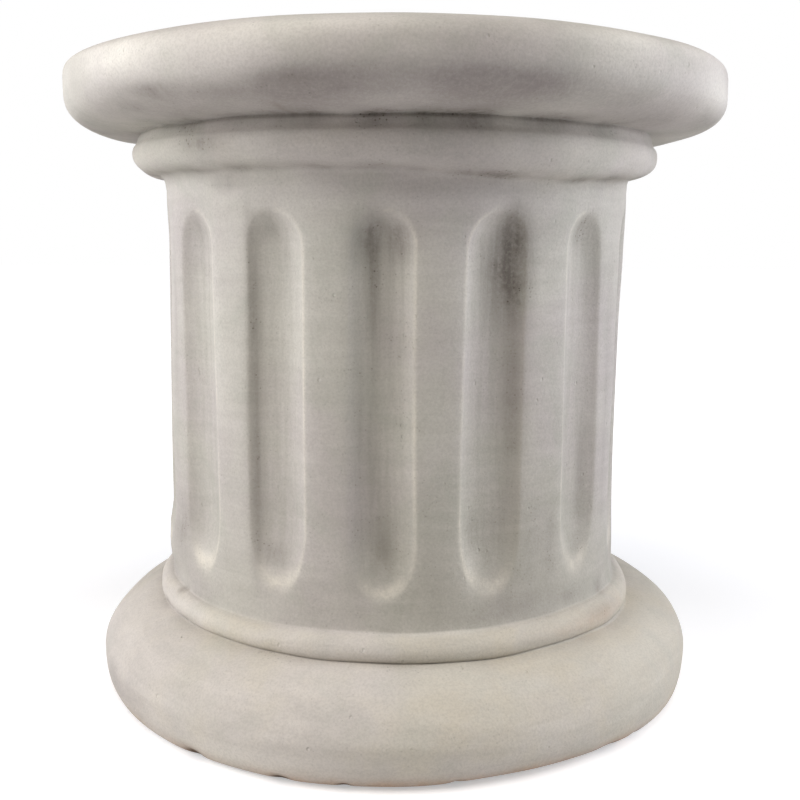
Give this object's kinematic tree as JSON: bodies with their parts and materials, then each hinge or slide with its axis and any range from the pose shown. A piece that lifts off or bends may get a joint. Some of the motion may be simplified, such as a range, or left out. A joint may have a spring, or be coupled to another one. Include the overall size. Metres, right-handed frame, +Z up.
{
  "type": "doric column plinth",
  "caption": "Short stout fluted column cast in one piece, with a torus base, a narrow ring, an astragal and a thick rounded round slab whose flat top carries a pot, bust or table top.",
  "frame": {"origin": "middle of the flat underside, on the floor", "axes": "+Z up along the column's axis, -Y towards the side the picture shows"},
  "size_m": [0.528, 0.528, 0.5],
  "materials": {
    "cast_stone": "matt antique stone wash, off-white with grey in the hollows and cream on the worn edges"
  },
  "bodies": {
    "root": {"column": "cast_stone"}
  },
  "joints": []
}
